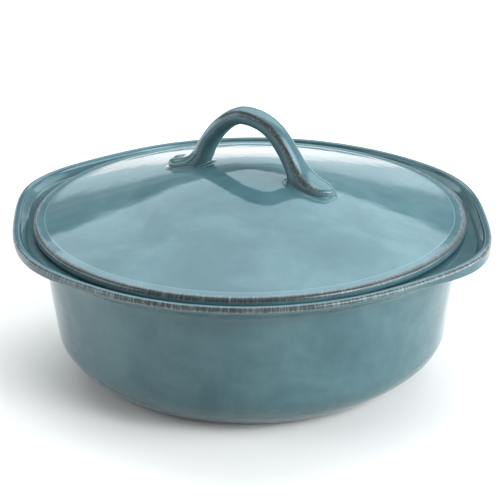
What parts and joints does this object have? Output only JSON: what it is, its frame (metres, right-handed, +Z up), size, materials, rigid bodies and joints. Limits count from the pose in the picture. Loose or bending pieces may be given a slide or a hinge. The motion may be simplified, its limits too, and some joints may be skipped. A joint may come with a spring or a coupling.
{
  "type": "covered casserole dish",
  "caption": "Round stoneware casserole with a flared, corner-pulled lip, a foot ring, and a lift-off domed lid with a strap handle.",
  "frame": {"origin": "centre of the foot's flat ring, on the table", "axes": "+X towards the right-hand end where the lip is pulled out, +Y towards the back, +Z up along the lid's axis"},
  "size_m": [0.2366, 0.2336, 0.1346],
  "materials": {
    "glaze": "glossy grey-teal glaze that thins to brown on the edges",
    "handle_glaze": "glossy grey-teal glaze with a brown break along the ridge",
    "bare_stoneware": "matt unglazed fired clay"
  },
  "bodies": {
    "dish": {"dish": "glaze"},
    "lid": {"lid": "glaze", "lid_handle": "handle_glaze"}
  },
  "joints": [
    {"name": "lid_lift", "type": "slide", "parent": "dish", "child": "lid", "axis": [0, 0, 1], "range_m": [0, 0.12]}
  ]
}
